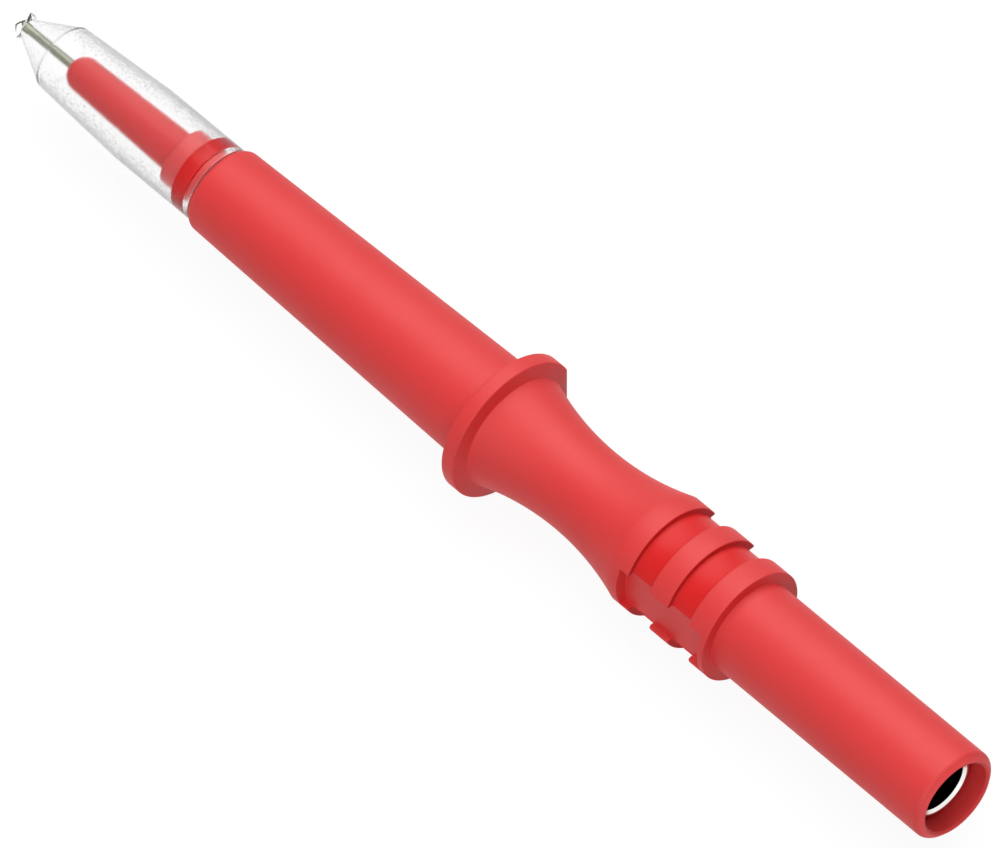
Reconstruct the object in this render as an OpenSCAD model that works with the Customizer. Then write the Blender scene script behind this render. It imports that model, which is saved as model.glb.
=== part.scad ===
// Test probe tip that pushes onto a 4 mm lead plug.
// All sizes are in millimetres. The probe's axis lies along X and its tip points to -X.
// The origin is the centre of the contact's mouth. Stations along the axis are counted
// forwards from the sleeve's rim, which is the rear end of the probe.

/* [Plug sleeve] */
// Outside diameter of the sleeve around the contact
sleeve_d = 6.7; // [6:0.05:8]
// Length of the sleeve from its rim to the first rib
sleeve_len = 19.4; // [14:0.1:26]
// Bore of the sleeve, wide enough for the contact's tines to spring outwards
sleeve_bore_d = 5.3; // [5:0.05:5.7]
// Rounding of the sleeve's rim
rim_round = 0.35; // [0.1:0.05:0.5]
// Depth of the contact's mouth below the sleeve's rim
contact_recess = 1.5; // [0.5:0.05:4]

/* [Grip] */
// Outside diameter of the ribs and of the waist's two ends
rib_d = 8.38; // [7.8:0.02:10]
// Diameter at the floor of the grooves between the ribs
groove_d = 7.5; // [6.9:0.1:7.7]
// Number of ribs, counting the one that runs into the waist
rib_count = 3; // [2:1:4]
// Length of one rib along the axis
rib_len = 1.78; // [1:0.02:2.5]
// Length of one groove along the axis
groove_len = 1.88; // [1:0.02:2.5]
// Length of the foremost rib, up to the start of the waist
land_len = 1.45; // [1:0.05:3]
// Length of the concave waist
waist_len = 13.5; // [10:0.1:18]
// Smallest diameter of the waist
waist_d = 6.23; // [6:0.01:7.4]
// Length of the recess in each side of the ribs
recess_len = 7.5; // [5:0.1:9]
// Width of the side recesses
recess_w = 3.35; // [2:0.05:4]
// Distance of the recesses' flat floors from the axis
recess_floor = 3.32; // [3.2:0.02:3.9]

/* [Finger guard] */
// Diameter of the finger guard
guard_d = 10.5; // [9:0.1:14]
// Thickness of the finger guard
guard_len = 1.1; // [0.8:0.05:2.5]
// Distance from the axis to the flat that stops the probe from rolling
guard_flat = 4.8; // [4.4:0.05:5]
// Rounding of the guard's two outer edges
guard_round = 0.12; // [0.05:0.01:0.3]

/* [Barrel] */
// Diameter of the barrel where it meets the finger guard
barrel_rear_d = 7.54; // [7:0.02:8.4]
// Diameter of the barrel at its front face
barrel_front_d = 6.25; // [6.1:0.05:7]
// Length of the barrel from the guard to its front face
barrel_len = 26.55; // [18:0.05:40]
// Bevel on the barrel's front edge
barrel_bevel = 0.15; // [0.05:0.05:0.3]
// Diameter of the spigot that is pressed into the handle
spigot_d = 4.6; // [4:0.1:5]
// Length of the spigot
spigot_len = 6; // [4:0.1:8]
// Diameter of the collar that carries the cap
collar_d = 4.2; // [3.9:0.05:4.3]
// Length of the collar
collar_len = 3.4; // [3:0.05:6]
// Diameter of the nose where it leaves the collar
nose_rear_d = 2.86; // [2.6:0.02:3.2]
// Diameter of the nose where its round end begins
nose_front_d = 2.4; // [2.2:0.02:2.6]
// Length of the nose, with its round end
nose_len = 10.6; // [8:0.05:12]

/* [Friction band] */
// Width of the rubber band that holds the cap
band_w = 1.05; // [0.6:0.05:1.6]
// Distance from the barrel's front face to the band
band_offset = 1.05; // [0.5:0.05:1.5]
// Thickness of the band
band_t = 0.5; // [0.3:0.05:0.6]
// Radial clearance between the band and the cap
band_clear = 0.03; // [0.01:0.01:0.08]

/* [Cap] */
// Outside diameter of the cap along its straight rear part
cap_d = 5.67; // [5.4:0.01:6]
// Bore of the cap along its straight rear part
cap_bore_d = 4.36; // [4.34:0.01:4.7]
// Length of the cap's straight rear part
cap_straight_len = 7.3; // [6:0.05:9]
// Length of the cap's slender tapered part
cap_taper_len = 7.65; // [6:0.05:9]
// Outside diameter at the shoulder, where the slender taper ends
cap_shoulder_d = 4.8; // [4.4:0.05:5.4]
// Wall of the cap at the shoulder
cap_wall = 0.55; // [0.4:0.05:0.7]
// Length of the cone between the shoulder and the crown
cap_cone_len = 3.05; // [2:0.05:4]
// Outside diameter of the crown
crown_d = 1.92; // [1.7:0.02:2.4]
// Length of the crown
crown_len = 0.9; // [0.7:0.05:1.5]
// Bore of the crown
crown_bore_d = 1.2; // [0.9:0.05:1.4]
// Number of points around the crown
crown_count = 4; // [3:1:6]
// Depth of the notches between the points
notch_depth = 0.6; // [0.3:0.05:0.7]
// Width of a notch at the crown's open end
notch_w = 1; // [0.5:0.05:1.1]
// Turn of the crown about the probe's axis
crown_turn = 60; // [0:1:90]
// Gap between the seated cap and the barrel's front face
cap_gap = 0.05; // [0.02:0.01:0.2]

/* [Needle] */
// Diameter of the needle
needle_d = 0.62; // [0.4:0.01:0.8]
// Length of the needle outside the nose
needle_out = 4.9; // [4:0.05:6]
// Length of the needle inside the contact rod
needle_grip = 6; // [3:0.1:10]
// Length of the needle's point
needle_point = 0.4; // [0.3:0.05:1.5]
// Diameter of the blunt end of the point
needle_blunt_d = 0.06; // [0.02:0.01:0.1]

/* [Contact] */
// Bore of the contact, for a 4 mm plug
contact_bore_d = 4; // [3.8:0.05:4.1]
// Length of the contact's bore
contact_bore_len = 20; // [16:0.1:22]
// Outside diameter of the contact's tines
contact_d = 4.7; // [4.6:0.05:4.9]
// Width of the bevel that leads the plug into the bore
lead_in_w = 0.2; // [0.1:0.02:0.24]
// Depth of that bevel
lead_in_len = 0.2; // [0.1:0.05:0.4]
// Number of slots that part the tines
slot_count = 2; // [2:1:4]
// Width of a slot
slot_w = 0.5; // [0.3:0.05:0.8]
// Length of a slot from the contact's mouth
slot_len = 13; // [8:0.1:14]
// Turn of the slots about the probe's axis
slot_turn = 60; // [0:1:90]
// Number of barbs that hold the contact in the handle
barb_count = 3; // [2:1:5]
// Wall between the contact's bore and the rod's seat
contact_web = 1; // [0.6:0.1:2]
// Length of the rod's seat in the contact
rod_seat_len = 3; // [2:0.1:4]

/* [Clamp ring] */
// Distance from the contact's mouth to the spring ring around the tines
clamp_offset = 2.4; // [1.5:0.1:6]
// Width of the spring ring
clamp_w = 0.9; // [0.5:0.05:1.5]
// Thickness of the spring ring
clamp_t = 0.22; // [0.15:0.01:0.25]
// Depth of the ring's groove in the tines
clamp_depth = 0.1; // [0.05:0.01:0.15]
// Opening between the ends of the spring ring
clamp_split = 0.8; // [0.4:0.1:2]

/* [Contact rod] */
// Diameter of the rod from the contact to its shoulder
rod_d = 2.5; // [2.2:0.05:2.8]
// Diameter of the rod's slender front part
rod_front_d = 1.6; // [1.4:0.05:1.7]
// Distance that the rod's shoulder lies behind the barrel's front face
rod_shoulder = 3.2; // [2:0.1:8]
// Distance that the rod ends behind the tip of the nose
rod_end_gap = 3.5; // [2.5:0.1:5]

/* [Fits] */
// Radial gap of the joints that are pressed together
press_clear = 0.01; // [0.005:0.005:0.02]
// Radial gap around the rod in the handle and the barrel
rod_clear = 0.05; // [0.02:0.01:0.1]

/* [Hidden] */
$fn = 96;
over = 1;

sleeve_r = sleeve_d / 2;
sleeve_bore_r = sleeve_bore_d / 2;
rib_r = rib_d / 2;
groove_r = groove_d / 2;
waist_r = waist_d / 2;
guard_r = guard_d / 2;
spigot_r = spigot_d / 2;
rod_r = rod_d / 2;
rod_front_r = rod_front_d / 2;
needle_r = needle_d / 2;
collar_r = collar_d / 2;
barrel_front_r = barrel_front_d / 2;
nose_rear_r = nose_rear_d / 2;
nose_front_r = nose_front_d / 2;
contact_r = contact_d / 2;
contact_bore_r = contact_bore_d / 2;
cap_r = cap_d / 2;
cap_bore_r = cap_bore_d / 2;
cap_shoulder_r = cap_shoulder_d / 2;
crown_r = crown_d / 2;
crown_bore_r = crown_bore_d / 2;

// Stations of the handle, forwards from the rim
rib_pitch = rib_len + groove_len;
land_at = sleeve_len + (rib_count - 1) * rib_pitch;
waist_at = land_at + land_len;
waist_mid = waist_at + waist_len / 2;
guard_at = waist_at + waist_len;
recess_mid = sleeve_len + rib_len / 2 + (rib_count - 1) * rib_pitch / 2;

// The waist is an arc through its two ends and its thinnest place
waist_sag = rib_r - waist_r;
waist_arc_r = (pow(waist_len / 2, 2) + pow(waist_sag, 2)) / (2 * waist_sag);

// Stations of the barrel
barrel_at = guard_at + guard_len;
barrel_end = barrel_at + barrel_len;
spigot_at = barrel_at - spigot_len;
collar_end = barrel_end + collar_len;
nose_end = collar_end + nose_len;
nose_round_at = nose_end - nose_front_r;
barrel_taper = (barrel_rear_d - barrel_front_d) / 2 / barrel_len;

// Friction band and its groove in the collar
band_at = barrel_end + band_offset;
band_r = cap_bore_r - band_clear;
band_seat_r = band_r - band_t;

// Stations of the cap, which seats on the barrel's front face
cap_at = barrel_end + cap_gap;
taper_at = cap_at + cap_straight_len;
shoulder_at = taper_at + cap_taper_len;
crown_at = shoulder_at + cap_cone_len;
cap_end = crown_at + crown_len;
cone_slope = (cap_shoulder_r - crown_r) / cap_cone_len;
shoulder_bore_r = cap_shoulder_r - cap_wall;
bore_cone_len = (shoulder_bore_r - crown_bore_r) / cone_slope;

// Stations of the contact and the rod behind the needle
contact_bore_end = contact_recess + contact_bore_len;
rod_at = contact_bore_end + contact_web;
contact_end = rod_at + rod_seat_len;
shank_at = contact_recess + slot_len + slot_w;
barb_pitch = (contact_end - shank_at) / barb_count;
clamp_at = contact_recess + clamp_offset;
clamp_r = contact_r - clamp_depth;
rod_shoulder_at = barrel_end - rod_shoulder;
rod_end = nose_end - rod_end_gap;
needle_at = rod_end - needle_grip;
needle_end = nose_end + needle_out;

// Lays a turned piece along the probe's axis, with its height as the station from the rim
module along_axis() {
  translate([contact_recess, 0, 0])
    rotate([0, -90, 0])
      children();
}

// Flat bar of a profile between two stations, from the axis out to a radius
module bar(radius, from, to) {
  translate([0, from])
    square([radius, to - from]);
}

// What is cut away outside a rounded corner, drawn about the rounding's centre
module corner_waste(radius) {
  difference() {
    square(radius + over);
    circle(radius);
  }
}

// Outline of the handle's sleeve, ribs, waist and finger guard
module handle_outline() {
  difference() {
    union() {
      bar(sleeve_r, 0, sleeve_len);
      bar(groove_r, sleeve_len, land_at);
      for (i = [0 : rib_count - 2]) {
        bar(rib_r, sleeve_len + i * rib_pitch, sleeve_len + i * rib_pitch + rib_len);
      }
      bar(rib_r, land_at, guard_at);
      bar(guard_r, guard_at, barrel_at);
    }
    intersection() {
      translate([waist_r + waist_arc_r, waist_mid])
        circle(waist_arc_r, $fn = 360);
      bar(guard_r, waist_at, guard_at);
    }
    translate([sleeve_r - rim_round, rim_round])
      mirror([0, 1])
        corner_waste(rim_round);
    translate([guard_r - guard_round, barrel_at - guard_round])
      corner_waste(guard_round);
    translate([guard_r - guard_round, guard_at + guard_round])
      mirror([0, 1])
        corner_waste(guard_round);
  }
}

// Handle moulding, bored from the rear for the contact and from the front for the barrel
module handle() {
  color([0.85, 0.12, 0.12])
    difference() {
      along_axis()
        rotate_extrude()
          difference() {
            handle_outline();
            bar(sleeve_bore_r, -over, contact_end);
            bar(rod_r + rod_clear, -over, barrel_at + over);
            bar(spigot_r + press_clear, spigot_at, barrel_at + over);
          }
      side_recesses();
      guard_flat_cut();
    }
}

// Flat-floored recesses across the ribs, one in each side
module side_recesses() {
  for (side = [0, 1]) {
    mirror([0, side, 0])
      translate([contact_recess - recess_mid - recess_len / 2, recess_floor, -recess_w / 2])
        cube([recess_len, rib_r, recess_w]);
  }
}

// Slab that leaves the flat on the far side of the finger guard
module guard_flat_cut() {
  translate([contact_recess - barrel_at - over, guard_flat, -guard_r - over])
    cube([guard_len + 2 * over, guard_r, 2 * (guard_r + over)]);
}

// Barrel moulding: spigot, tapered body, collar with the band's groove, and nose
module barrel() {
  color([0.88, 0.16, 0.14])
    along_axis()
      rotate_extrude()
        difference() {
          barrel_outline();
          translate([band_seat_r, band_at])
            square([collar_r, band_w]);
          bar(rod_r + rod_clear, spigot_at - over, rod_shoulder_at);
          bar(rod_front_r + rod_clear, spigot_at - over, rod_end);
          bar(needle_r + press_clear, spigot_at - over, nose_end + over);
        }
}

// Outline of the barrel, closed by the round end of the nose
module barrel_outline() {
  polygon([
    [0, spigot_at],
    [spigot_r, spigot_at],
    [spigot_r, barrel_at],
    [barrel_front_r + barrel_taper * barrel_len, barrel_at],
    [barrel_front_r + barrel_taper * barrel_bevel, barrel_end - barrel_bevel],
    [barrel_front_r - barrel_bevel, barrel_end],
    [collar_r, barrel_end],
    [collar_r, collar_end],
    [nose_rear_r, collar_end],
    [nose_front_r, nose_round_at],
    [0, nose_round_at]
  ]);
  translate([0, nose_round_at])
    intersection() {
      circle(nose_front_r);
      square(nose_front_r);
    }
}

// Rubber band that grips the cap
module cap_band() {
  color([0.8, 0.06, 0.06])
    along_axis()
      rotate_extrude()
        translate([band_seat_r + press_clear, band_at])
          square([band_t - press_clear, band_w]);
}

// Clear cap over the nose and the needle, with a notched crown around the needle's point
module tip_cap() {
  color([0.85, 0.9, 0.92, 0.5])
    along_axis()
      difference() {
        rotate_extrude()
          cap_wall_profile();
        for (i = [0 : crown_count - 1]) {
          rotate(crown_turn + (i + 0.5) * 360 / crown_count)
            crown_notch();
        }
      }
}

// Half section through the cap's wall
module cap_wall_profile() {
  polygon([
    [cap_bore_r, cap_at],
    [cap_r, cap_at],
    [cap_r, taper_at],
    [cap_shoulder_r, shoulder_at],
    [crown_r, crown_at],
    [crown_r, cap_end],
    [crown_bore_r, cap_end],
    [crown_bore_r, shoulder_at + bore_cone_len],
    [shoulder_bore_r, shoulder_at],
    [cap_bore_r, taper_at]
  ]);
}

// V-shaped notch that runs outwards from the axis through the crown's wall
module crown_notch() {
  translate([0, 0, cap_end - notch_depth])
    rotate([90, 0, 90])
      linear_extrude(crown_r + over)
        polygon([
          [0, 0],
          [notch_w / 2, notch_depth],
          [notch_w / 2, notch_depth + over],
          [-notch_w / 2, notch_depth + over],
          [-notch_w / 2, notch_depth]
        ]);
}

// Steel needle with a ground point
module needle() {
  color([0.6, 0.6, 0.52])
    along_axis()
      rotate_extrude()
        polygon([
          [0, needle_at],
          [needle_r, needle_at],
          [needle_r, needle_end - needle_point],
          [needle_blunt_d / 2, needle_end],
          [0, needle_end]
        ]);
}

// Brass rod that carries the needle and joins it to the contact
module contact_rod() {
  color([0.8, 0.65, 0.3])
    along_axis()
      rotate_extrude()
        difference() {
          union() {
            bar(rod_r, rod_at, rod_shoulder_at);
            bar(rod_front_r, rod_shoulder_at, rod_end);
          }
          bar(needle_r + press_clear, needle_at, rod_end + over);
        }
}

// Slotted contact with a bore for the plug and a barbed shank that is pressed into the handle
module socket_contact() {
  color([0.85, 0.85, 0.83])
    along_axis()
      difference() {
        rotate_extrude()
          contact_profile();
        for (i = [0 : slot_count - 1]) {
          rotate(slot_turn + i * 360 / slot_count)
            translate([0, -slot_w / 2, contact_recess - over])
              cube([contact_r + over, slot_w, slot_len + over]);
        }
      }
}

// Half section through the contact
module contact_profile() {
  difference() {
    union() {
      bar(contact_r, contact_recess, contact_end);
      for (i = [0 : barb_count - 1]) {
        translate([0, shank_at + i * barb_pitch])
          polygon([
            [0, 0],
            [sleeve_bore_r - press_clear, 0],
            [contact_r, barb_pitch],
            [0, barb_pitch]
          ]);
      }
    }
    bar(contact_bore_r, contact_recess - over, contact_bore_end);
    bar(rod_r + press_clear, rod_at, contact_end + over);
    translate([0, contact_recess])
      polygon([
        [0, -over],
        [contact_bore_r + lead_in_w, -over],
        [contact_bore_r + lead_in_w, 0],
        [contact_bore_r, lead_in_len],
        [0, lead_in_len]
      ]);
    translate([clamp_r, clamp_at])
      square([contact_r, clamp_w]);
  }
}

// Split spring ring that presses the tines onto the plug
module clamp_ring() {
  color([0.55, 0.56, 0.58])
    along_axis()
      difference() {
        rotate_extrude()
          translate([clamp_r + press_clear, clamp_at])
            square([clamp_t, clamp_w]);
        rotate(slot_turn + 180 / slot_count)
          translate([0, -clamp_split / 2, clamp_at - over])
            cube([sleeve_bore_r, clamp_split, clamp_w + 2 * over]);
      }
}

handle();
barrel();
cap_band();
tip_cap();
needle();
contact_rod();
socket_contact();
clamp_ring();
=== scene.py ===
"""Test probe tip that pushes onto a 4 mm lead plug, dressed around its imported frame.

Sizes of the pieces are in millimetres and are given as stations: a station is the distance
forwards from the rim of the plug sleeve, along the probe's axis. The scene is in metres,
with the axis along X and the tip towards -X.
"""

import logging
import math
from collections.abc import Callable, Sequence
from dataclasses import dataclass, field
from enum import Enum

import bmesh
import bpy
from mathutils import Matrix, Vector


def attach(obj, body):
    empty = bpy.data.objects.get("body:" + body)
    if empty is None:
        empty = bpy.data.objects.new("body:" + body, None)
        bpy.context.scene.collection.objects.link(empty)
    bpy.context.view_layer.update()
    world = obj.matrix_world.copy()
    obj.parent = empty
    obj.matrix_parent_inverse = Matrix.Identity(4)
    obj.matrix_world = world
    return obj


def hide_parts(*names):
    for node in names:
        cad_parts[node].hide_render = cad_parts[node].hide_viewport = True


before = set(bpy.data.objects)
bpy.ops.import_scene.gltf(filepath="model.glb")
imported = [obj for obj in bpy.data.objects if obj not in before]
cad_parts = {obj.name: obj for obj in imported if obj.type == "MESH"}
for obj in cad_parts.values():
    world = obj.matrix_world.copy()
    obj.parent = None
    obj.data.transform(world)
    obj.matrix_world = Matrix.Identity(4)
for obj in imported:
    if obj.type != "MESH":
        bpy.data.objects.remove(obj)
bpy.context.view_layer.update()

LOG = logging.getLogger("probe")

MM = 0.001
# X of the sleeve's rim, where station 0 lies, in millimetres
RIM_X = 1.5
# Points in each ring of a turned piece
COLUMNS = 192
# Radius at which a solid piece closes on the axis, and a length too small to show
CORE_R = 0.002
HAIR = 0.01
# Largest share of a straight piece that one rounding takes up
ROUNDING_LIMIT = 0.49
# Angle in degrees from which an edge stays crisp
SHARP = 60.0
# Share of the shown background that a ray keeps once a dull surface has scattered it
SCATTERED_SHARE = 0.45

Point = tuple[float, float]
Spot = tuple[float, float, float]
Colour = tuple[float, float, float]
Value = "float | Term"


class Slot(Enum):
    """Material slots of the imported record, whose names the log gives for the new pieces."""

    RED = "red_plastic"
    BARREL = "barrel_plastic"
    BAND = "band_rubber"
    CLEAR = "clear_plastic"
    NEEDLE = "needle_steel"


class Body(Enum):
    """Bodies that a piece can ride on."""

    PROBE = "probe"
    CAP = "cap"


class Cut(Enum):
    """What is cut away from one side of the handle's round section."""

    NONE = "none"
    SLOT = "slot"
    FLAT = "flat"


# Shader maths


class Term:
    """A socket of a node tree that takes part in sums like a number."""

    def __init__(self, tree: "Tree", socket: bpy.types.NodeSocket) -> None:
        """Wraps a socket.

        Args:
            tree: The tree that the socket's node stands in.
            socket: The output socket.
        """
        self.tree = tree
        self.socket = socket

    def _with(self, operation: str, first: Value, second: Value) -> "Term":
        """Adds a Math node.

        Args:
            operation: The Math node's operation.
            first: The upper value.
            second: The lower value.

        Returns:
            The node's result.
        """
        return self.tree.node("ShaderNodeMath", {"operation": operation}, {0: first, 1: second})

    def __add__(self, other: Value) -> "Term":
        """Sum."""
        return self._with("ADD", self, other)

    def __radd__(self, other: Value) -> "Term":
        """Sum with a number on the left."""
        return self._with("ADD", other, self)

    def __sub__(self, other: Value) -> "Term":
        """Difference."""
        return self._with("SUBTRACT", self, other)

    def __rsub__(self, other: Value) -> "Term":
        """Difference with a number on the left."""
        return self._with("SUBTRACT", other, self)

    def __mul__(self, other: Value) -> "Term":
        """Product."""
        return self._with("MULTIPLY", self, other)

    def __rmul__(self, other: Value) -> "Term":
        """Product with a number on the left."""
        return self._with("MULTIPLY", other, self)

    def __truediv__(self, other: Value) -> "Term":
        """Quotient."""
        return self._with("DIVIDE", self, other)

    def __rtruediv__(self, other: Value) -> "Term":
        """Quotient with a number on the left."""
        return self._with("DIVIDE", other, self)

    def at_most(self, other: Value) -> "Term":
        """The smaller of two values."""
        return self._with("MINIMUM", self, other)

    def size(self) -> "Term":
        """The value without its sign."""
        return self._with("ABSOLUTE", self, 0.0)


class Tree:
    """The node tree of a material or of the world."""

    def __init__(self, node_tree: bpy.types.NodeTree) -> None:
        """Empties a node tree and takes it over.

        Args:
            node_tree: The tree to build in.
        """
        self.nodes = node_tree.nodes
        self.links = node_tree.links
        self.nodes.clear()

    def node(
        self,
        kind: str,
        settings: dict[str, object] | None = None,
        inputs: "dict[str | int, object] | None" = None,
        output: "str | int" = 0,
    ) -> Term:
        """Adds a node.

        Args:
            kind: The node's type.
            settings: The node's own settings, such as a Math node's operation.
            inputs: A number, colour or link for each socket that isn't left as it is.
            output: The output socket to return.

        Returns:
            That output socket.
        """
        made = self.nodes.new(kind)
        for name, value in (settings or {}).items():
            setattr(made, name, value)
        for name, value in (inputs or {}).items():
            if isinstance(value, Term):
                self.links.new(value.socket, made.inputs[name])
            else:
                made.inputs[name].default_value = value
        socket = made.outputs[output] if len(made.outputs) else None
        return Term(self, socket)

    def place(self) -> Term:
        """Position on the piece, in metres."""
        return self.node("ShaderNodeTexCoord", output="Object")

    def _changed(self, operation: str, by: Spot) -> Term:
        """The position after a Vector Math node's operation with a fixed vector."""
        return self.node(
            "ShaderNodeVectorMath", {"operation": operation}, {0: self.place(), 1: by}
        )

    def _noise_at(self, vector: Term, size: float, detail: float) -> Term:
        """Noise over positions, around 0.5, with cells of a size in millimetres."""
        return self.node(
            "ShaderNodeTexNoise",
            {"noise_dimensions": "3D"},
            {"Vector": vector, "Scale": 1 / (size * MM), "Detail": detail},
            "Fac",
        )

    def noise(self, size: float, detail: float, seed: float = 0.0) -> Term:
        """Noise over the piece.

        Args:
            size: Size of the noise's cells in millimetres.
            detail: Number of finer layers.
            seed: Shift of the pattern, so that two noises differ.

        Returns:
            A value around 0.5.
        """
        return self._noise_at(self._changed("ADD", (seed, seed, seed)), size, detail)

    def turning_marks(self, size: float, detail: float, stretch: float) -> Term:
        """Noise drawn out across the probe's axis, as a lathe leaves it.

        Args:
            size: Size of a mark along the axis in millimetres.
            detail: Number of finer layers.
            stretch: Share of the distance across the axis that counts.

        Returns:
            A value around 0.5.
        """
        return self._noise_at(self._changed("MULTIPLY", (1.0, stretch, stretch)), size, detail)

    def radius(self) -> Term:
        """Distance from the probe's axis, in millimetres."""
        across = self._changed("MULTIPLY", (0.0, 1 / MM, 1 / MM))
        return self.node("ShaderNodeVectorMath", {"operation": "LENGTH"}, {0: across}, "Value")

    def station(self) -> Term:
        """Distance forwards from the sleeve's rim, in millimetres."""
        x = self.node("ShaderNodeSeparateXYZ", {}, {0: self.place()}, "X")
        return RIM_X - x / MM

    def ramp(self, value: Value, start: float, end: float) -> Term:
        """Soft step of a value.

        Args:
            value: The value.
            start: Where the step starts.
            end: Where the step ends; it falls if this is less than the start.

        Returns:
            A share from 0 to 1.
        """
        settings = {"interpolation_type": "SMOOTHSTEP", "clamp": True}
        inputs = {"Value": value, "From Min": start, "From Max": end}
        return self.node("ShaderNodeMapRange", settings, inputs)

    def blend(self, factor: Value, first: object, second: object) -> Term:
        """Mixes two colours.

        Args:
            factor: Share of the second colour.
            first: The first colour or a link.
            second: The second colour or a link.

        Returns:
            The mixed colour.
        """
        inputs = {"Factor": factor, 6: first, 7: second}
        return self.node("ShaderNodeMix", {"data_type": "RGBA"}, inputs, 2)

    def bump(self, height: Term, depth: float, strength: float) -> Term:
        """Relief in the shading.

        Args:
            height: Height from 0 to 1.
            depth: Depth in millimetres that a height of 1 stands for.
            strength: Share of the relief that is used.

        Returns:
            The normal.
        """
        inputs = {"Strength": strength, "Distance": depth * MM, "Height": height}
        return self.node("ShaderNodeBump", {}, inputs, "Normal")


def rgba(colour: Colour) -> tuple[float, float, float, float]:
    """A colour with full opacity."""
    return (*colour, 1.0)


WHITE = rgba((1.0, 1.0, 1.0))


def varied(noise: Term, spread: float) -> Term:
    """A noise as a change around 0, over a given spread."""
    return (noise - 0.5) * spread


def new_material(name: str) -> "tuple[bpy.types.Material, Tree]":
    """Makes an empty material.

    Args:
        name: Name of the material.

    Returns:
        The material and its node tree.
    """
    material = bpy.data.materials.new(name)
    material.use_nodes = True
    return material, Tree(material.node_tree)


# Finishes


@dataclass(frozen=True)
class PaintedPatch:
    """Round stretch of a moulding with a roughness and specular level of its own and a colour
    that paints light and shade onto it.

    It runs from start to end along the axis and as far as band on either side of radius.
    """

    start: float
    end: float
    radius: float
    band: float = 0.025
    base: Colour = (0.78, 0.012, 0.012)
    roughness: float = 0.42
    specular: float = 0.3
    fade: float = 0.01
    band_fade: float = 0.005


@dataclass(frozen=True)
class MouldedPlastic:
    """Satin moulded plastic with a very fine grain; on some stretches its colour is painted with
    light and shade.
    """

    name: str
    base: Colour
    shade: Colour
    roughness: float = 0.57
    specular: float = 0.73
    painted_patches: tuple[PaintedPatch, ...] = ()
    roughness_spread: float = 0.08
    ior: float = 1.5
    grain: float = 0.07
    grain_detail: float = 2.0
    grain_depth: float = 0.006
    grain_strength: float = 0.35
    flow: float = 3.5
    flow_detail: float = 3.0
    flow_seed: float = 0.31
    flow_share: float = 0.6

    def make(self) -> bpy.types.Material:
        """Makes the material.

        Returns:
            The material.
        """
        material, tree = new_material(self.name)
        grain = tree.noise(self.grain, self.grain_detail)
        flow = tree.noise(self.flow, self.flow_detail, self.flow_seed)
        mottle = self.flow_share * flow + (1 - self.flow_share) * grain
        colour = tree.blend(mottle, rgba(self.base), rgba(self.shade))
        spread = (grain + flow - 1.0) * self.roughness_spread
        normal = tree.bump(grain, self.grain_depth, self.grain_strength)
        surface = self._skin(tree, colour, self.roughness + spread, normal, self.specular)
        # Each painted stretch lays over the plastic a surface whose colour is painted light and
        # shade.
        for patch in self.painted_patches:
            own = self._skin(
                tree, rgba(patch.base), patch.roughness + spread, normal, patch.specular
            )
            layers = {"Fac": self._covered(tree, patch), 1: surface, 2: own}
            surface = tree.node("ShaderNodeMixShader", {}, layers)
        tree.node("ShaderNodeOutputMaterial", {}, {"Surface": surface})
        return material

    def _skin(
        self, tree: Tree, colour: object, roughness: Term, normal: Term, specular: float
    ) -> Term:
        """Makes one plastic surface.

        Args:
            tree: The material's tree.
            colour: Its colour.
            roughness: Its roughness.
            normal: Its grained normal.
            specular: Its specular level.

        Returns:
            The shader.
        """
        return tree.node(
            "ShaderNodeBsdfPrincipled",
            {},
            {
                "Base Color": colour,
                "Roughness": roughness,
                "Normal": normal,
                "IOR": self.ior,
                "Specular IOR Level": specular,
            },
        )

    def _covered(self, tree: Tree, patch: PaintedPatch) -> Term:
        """Finds a patch.

        Args:
            tree: The material's tree.
            patch: The patch.

        Returns:
            1 on the patch and 0 off it.
        """
        station = tree.station()
        within = tree.ramp(station, patch.start - patch.fade, patch.start)
        within = within * tree.ramp(station, patch.end + patch.fade, patch.end)
        off = (tree.radius() - patch.radius).size()
        return within * tree.ramp(off, patch.band + patch.band_fade, patch.band)


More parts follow.
